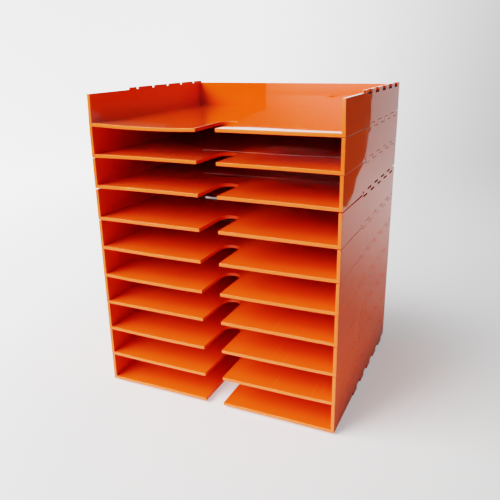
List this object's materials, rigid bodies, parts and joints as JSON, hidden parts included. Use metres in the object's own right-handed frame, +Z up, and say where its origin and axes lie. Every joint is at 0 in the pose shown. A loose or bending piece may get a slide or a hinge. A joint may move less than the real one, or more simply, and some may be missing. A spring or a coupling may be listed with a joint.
{
  "type": "desktop file sorter",
  "caption": "Tall desktop file sorter: a stack of interlocking open-fronted plastic paper trays, each with a rounded finger slot in its front edge and a castellated side rim.",
  "frame": {"origin": "on the table, under the middle of the sorter", "axes": "+Z up the stack, +X to the right of someone facing the open front, +Y to the back"},
  "size_m": [0.345, 0.3, 0.4251],
  "materials": {
    "orange_plastic": "moulded glossy orange plastic, lightly scuffed"
  },
  "bodies": {
    "tray_01": {"tray_01": "orange_plastic"},
    "tray_02": {"tray_02": "orange_plastic"},
    "tray_03": {"tray_03": "orange_plastic"},
    "tray_04": {"tray_04": "orange_plastic"},
    "tray_05": {"tray_05": "orange_plastic"},
    "tray_06": {"tray_06": "orange_plastic"},
    "tray_07": {"tray_07": "orange_plastic"},
    "tray_08": {"tray_08": "orange_plastic"},
    "tray_09": {"tray_09": "orange_plastic"},
    "tray_10": {"tray_10": "orange_plastic"}
  },
  "joints": [
    {"name": "tray_02_lift", "type": "slide", "parent": "tray_01", "child": "tray_02", "axis": [0, 0, 1], "range_m": [0, 0.06]},
    {"name": "tray_03_lift", "type": "slide", "parent": "tray_02", "child": "tray_03", "axis": [0, 0, 1], "range_m": [0, 0.06]},
    {"name": "tray_04_lift", "type": "slide", "parent": "tray_03", "child": "tray_04", "axis": [0, 0, 1], "range_m": [0, 0.06]},
    {"name": "tray_05_lift", "type": "slide", "parent": "tray_04", "child": "tray_05", "axis": [0, 0, 1], "range_m": [0, 0.06]},
    {"name": "tray_06_lift", "type": "slide", "parent": "tray_05", "child": "tray_06", "axis": [0, 0, 1], "range_m": [0, 0.06]},
    {"name": "tray_07_lift", "type": "slide", "parent": "tray_06", "child": "tray_07", "axis": [0, 0, 1], "range_m": [0, 0.06]},
    {"name": "tray_08_lift", "type": "slide", "parent": "tray_07", "child": "tray_08", "axis": [0, 0, 1], "range_m": [0, 0.06]},
    {"name": "tray_09_lift", "type": "slide", "parent": "tray_08", "child": "tray_09", "axis": [0, 0, 1], "range_m": [0, 0.06]},
    {"name": "tray_10_lift", "type": "slide", "parent": "tray_09", "child": "tray_10", "axis": [0, 0, 1], "range_m": [0, 0.06]}
  ]
}
